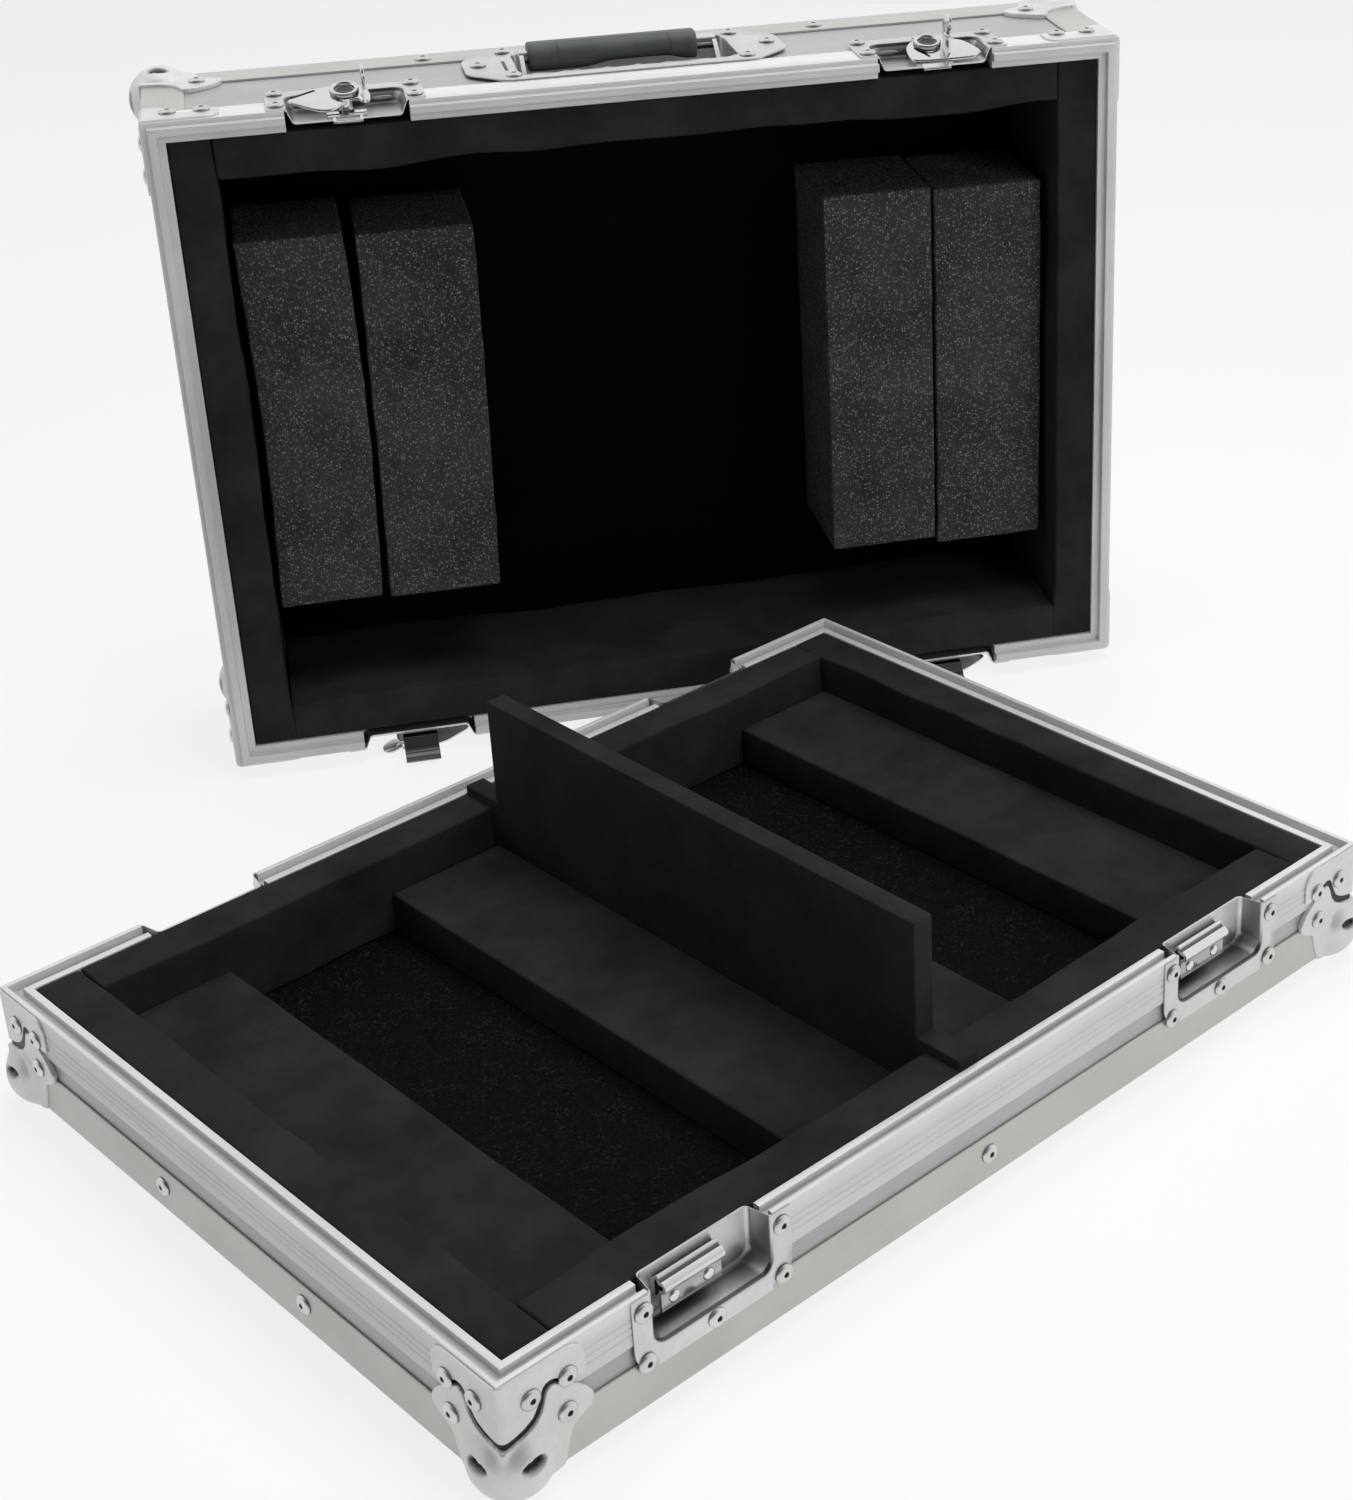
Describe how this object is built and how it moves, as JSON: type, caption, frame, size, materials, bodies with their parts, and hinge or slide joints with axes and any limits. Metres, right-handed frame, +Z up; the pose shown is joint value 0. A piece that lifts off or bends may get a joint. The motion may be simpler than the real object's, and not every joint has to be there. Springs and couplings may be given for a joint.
{
  "type": "flight case",
  "caption": "Shallow flight case with a deep lift-off lid, recessed twist latches, ball corners, a recessed handle and a foam-lined inside with a removable divider.",
  "frame": {"origin": "on the floor under the middle of the base, level with the lowest points of its ball corners", "axes": "+X along the base's long side to the right of someone facing its front, -Y the base's front, +Z up"},
  "size_m": [0.8044, 0.7089, 0.4353],
  "materials": {
    "laminate": "satin",
    "aluminium": "satin",
    "nickel_steel": "satin",
    "chrome": "polished",
    "rivet": "satin",
    "dense_foam": "matte",
    "open_foam": "matte",
    "carpet": "matte",
    "felt": "matte",
    "grip": "satin"
  },
  "bodies": {
    "base": {"base_bottom_panel": "laminate", "base_rims": "aluminium", "base_edge_angles": "aluminium", "base_ball_corners": "nickel_steel", "base_corner_braces": "nickel_steel", "base_rivets": "rivet", "keeper_dishes": "nickel_steel", "keeper_catches": "chrome", "base_carpet": "carpet", "base_liner_front": "dense_foam", "base_liner_rear": "dense_foam", "base_liner_left": "dense_foam", "base_liner_right": "dense_foam", "base_front_panel": "laminate", "base_right_panel": "laminate", "base_rear_panel": "laminate", "base_left_panel": "laminate", "left_strip": "dense_foam", "centre_strip": "dense_foam", "right_strip": "dense_foam"},
    "divider": {"divider": "dense_foam"},
    "lid": {"lid_top_panel": "laminate", "lid_rims": "aluminium", "lid_edge_angles": "aluminium", "lid_corner_angles": "aluminium", "lid_ball_corners": "nickel_steel", "lid_corner_braces": "nickel_steel", "lid_rivets": "rivet", "latch_dishes": "nickel_steel", "lid_felt": "felt", "lid_liner_front": "dense_foam", "lid_liner_rear": "dense_foam", "lid_liner_left": "dense_foam", "lid_liner_right": "dense_foam", "left_foam_blocks": "open_foam", "right_foam_blocks": "open_foam", "handle_dish": "nickel_steel", "handle_pin": "chrome", "lid_front_panel": "laminate", "lid_right_panel": "laminate", "lid_rear_panel": "laminate", "lid_left_panel": "laminate"},
    "handle": {"handle_bail": "chrome", "handle_grip": "grip"},
    "latch_rotor_front_left": {"latch_rotor_front_left": "chrome"},
    "latch_fin_front_left": {"latch_fin_front_left": "chrome"},
    "latch_hook_front_left": {"latch_hook_front_left": "chrome"},
    "latch_rotor_front_right": {"latch_rotor_front_right": "chrome"},
    "latch_fin_front_right": {"latch_fin_front_right": "chrome"},
    "latch_hook_front_right": {"latch_hook_front_right": "chrome"},
    "latch_rotor_rear_left": {"latch_rotor_rear_left": "chrome"},
    "latch_fin_rear_left": {"latch_fin_rear_left": "chrome"},
    "latch_hook_rear_left": {"latch_hook_rear_left": "chrome"},
    "latch_rotor_rear_right": {"latch_rotor_rear_right": "chrome"},
    "latch_fin_rear_right": {"latch_fin_rear_right": "chrome"},
    "latch_hook_rear_right": {"latch_hook_rear_right": "chrome"}
  },
  "joints": [
    {"name": "lid_lift", "type": "slide", "parent": "base", "child": "lid", "axis": [0, 0, 1], "range_m": [0, 0.25]},
    {"name": "divider_lift", "type": "slide", "parent": "base", "child": "divider", "axis": [0, 0, 1], "range_m": [0, 0.15]},
    {"name": "handle_swing", "type": "hinge", "parent": "lid", "child": "handle", "pos_m": [0.23391, 0.29966, 0.3955], "axis": [0.8607, -0.509, 0], "range_deg": [0, 70], "stiffness_Nm_per_rad": 0.12},
    {"name": "latch_twist_front_left", "type": "hinge", "parent": "lid", "child": "latch_rotor_front_left", "pos_m": [0.07739, 0.35816, 0.4119], "axis": [0, 0, 1], "range_deg": [0, 180]},
    {"name": "latch_fin_fold_front_left", "type": "hinge", "parent": "latch_rotor_front_left", "child": "latch_fin_front_left", "pos_m": [0.08669, 0.35266, 0.4153], "axis": [0.509, 0.8607, 0], "range_deg": [0, 90]},
    {"name": "latch_draw_front_left", "type": "slide", "parent": "lid", "child": "latch_hook_front_left", "axis": [-0.509, -0.8607, 0], "range_m": [0, 0.0088]},
    {"name": "latch_twist_front_right", "type": "hinge", "parent": "lid", "child": "latch_rotor_front_right", "pos_m": [0.36747, 0.18661, 0.4119], "axis": [0, 0, 1], "range_deg": [0, 180]},
    {"name": "latch_fin_fold_front_right", "type": "hinge", "parent": "latch_rotor_front_right", "child": "latch_fin_front_right", "pos_m": [0.37676, 0.18111, 0.4153], "axis": [0.509, 0.8607, 0], "range_deg": [0, 90]},
    {"name": "latch_draw_front_right", "type": "slide", "parent": "lid", "child": "latch_hook_front_right", "axis": [-0.509, -0.8607, 0], "range_m": [0, 0.0088]},
    {"name": "latch_twist_rear_left", "type": "hinge", "parent": "lid", "child": "latch_rotor_rear_left", "pos_m": [0.07739, 0.35816, 0.0051], "axis": [0, 0, -1], "range_deg": [0, 180]},
    {"name": "latch_fin_fold_rear_left", "type": "hinge", "parent": "latch_rotor_rear_left", "child": "latch_fin_rear_left", "pos_m": [0.0681, 0.36366, 0.0017], "axis": [0.509, 0.8607, 0], "range_deg": [-90, 0]},
    {"name": "latch_draw_rear_left", "type": "slide", "parent": "lid", "child": "latch_hook_rear_left", "axis": [-0.509, -0.8607, 0], "range_m": [0, 0.0088]},
    {"name": "latch_twist_rear_right", "type": "hinge", "parent": "lid", "child": "latch_rotor_rear_right", "pos_m": [0.36747, 0.18661, 0.0051], "axis": [0, 0, -1], "range_deg": [0, 180]},
    {"name": "latch_fin_fold_rear_right", "type": "hinge", "parent": "latch_rotor_rear_right", "child": "latch_fin_rear_right", "pos_m": [0.35817, 0.19211, 0.0017], "axis": [0.509, 0.8607, 0], "range_deg": [-90, 0]},
    {"name": "latch_draw_rear_right", "type": "slide", "parent": "lid", "child": "latch_hook_rear_right", "axis": [-0.509, -0.8607, 0], "range_m": [0, 0.0088]}
  ],
  "couplings": [
    {"joint": "latch_draw_front_left", "follows": "latch_twist_front_left", "m_per_rad": 0.0028},
    {"joint": "latch_draw_front_right", "follows": "latch_twist_front_right", "m_per_rad": 0.0028},
    {"joint": "latch_draw_rear_left", "follows": "latch_twist_rear_left", "m_per_rad": 0.0028},
    {"joint": "latch_draw_rear_right", "follows": "latch_twist_rear_right", "m_per_rad": 0.0028}
  ]
}
